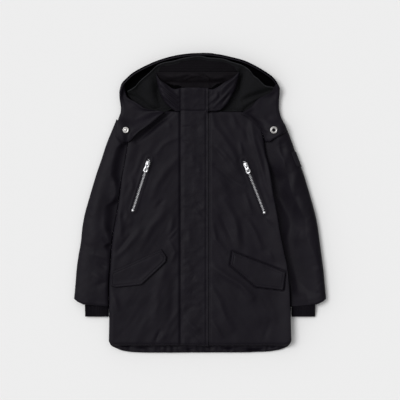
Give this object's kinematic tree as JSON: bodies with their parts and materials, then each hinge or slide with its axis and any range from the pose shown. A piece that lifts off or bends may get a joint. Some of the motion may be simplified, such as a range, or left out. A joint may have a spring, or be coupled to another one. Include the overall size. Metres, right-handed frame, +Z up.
{
  "type": "padded parka",
  "caption": "Child's hooded padded parka laid flat, with storm placket, stand collar, slanted chest zips, pocket flaps and rib cuffs.",
  "frame": {"origin": "centre of the garment's footprint on the surface it lies on", "axes": "+X to the viewer's right, +Y from hem to hood, +Z up from the surface, so the front faces +Z"},
  "size_m": [0.5546, 0.6604, 0.0343],
  "materials": {
    "shell": "matt woven, faint sheen",
    "lining": "matt knit",
    "rib": "rib knit",
    "metal": "bright",
    "snap": "satin"
  },
  "bodies": {
    "garment": {"back_panel": "shell", "front_panel_left": "shell", "front_panel_right": "shell", "placket": "shell", "hood_shell": "shell", "hood_lining": "lining", "hood_flap_left": "shell", "hood_flap_right": "shell", "collar_back": "shell", "collar_front_left": "shell", "collar_front_right": "shell", "hanger_loop": "shell", "sleeve_left_upper": "shell", "sleeve_left_under": "shell", "sleeve_right_upper": "shell", "sleeve_right_under": "shell", "cuff_left": "rib", "cuff_right": "rib", "pocket_flap_left": "shell", "pocket_flap_right": "shell", "zip_left": "metal", "zip_right": "metal", "zip_stop_left": "metal", "zip_stop_right": "metal", "slider_left": "metal", "slider_right": "metal", "snap_stud_left": "snap", "snap_socket_right": "snap", "arm_patch": "shell"},
    "pull_tab_left": {"pull_left": "metal"},
    "pull_tab_right": {"pull_right": "metal"}
  },
  "joints": [
    {"name": "pull_left_swing", "type": "hinge", "parent": "garment", "child": "pull_tab_left", "pos_m": [-0.11486, 0.08453, 0.02855], "axis": [-0.9521, 0.3057, 0], "range_deg": [0, 165]},
    {"name": "pull_right_swing", "type": "hinge", "parent": "garment", "child": "pull_tab_right", "pos_m": [0.10051, 0.08126, 0.02865], "axis": [-0.9311, -0.3648, 0], "range_deg": [0, 165]}
  ]
}
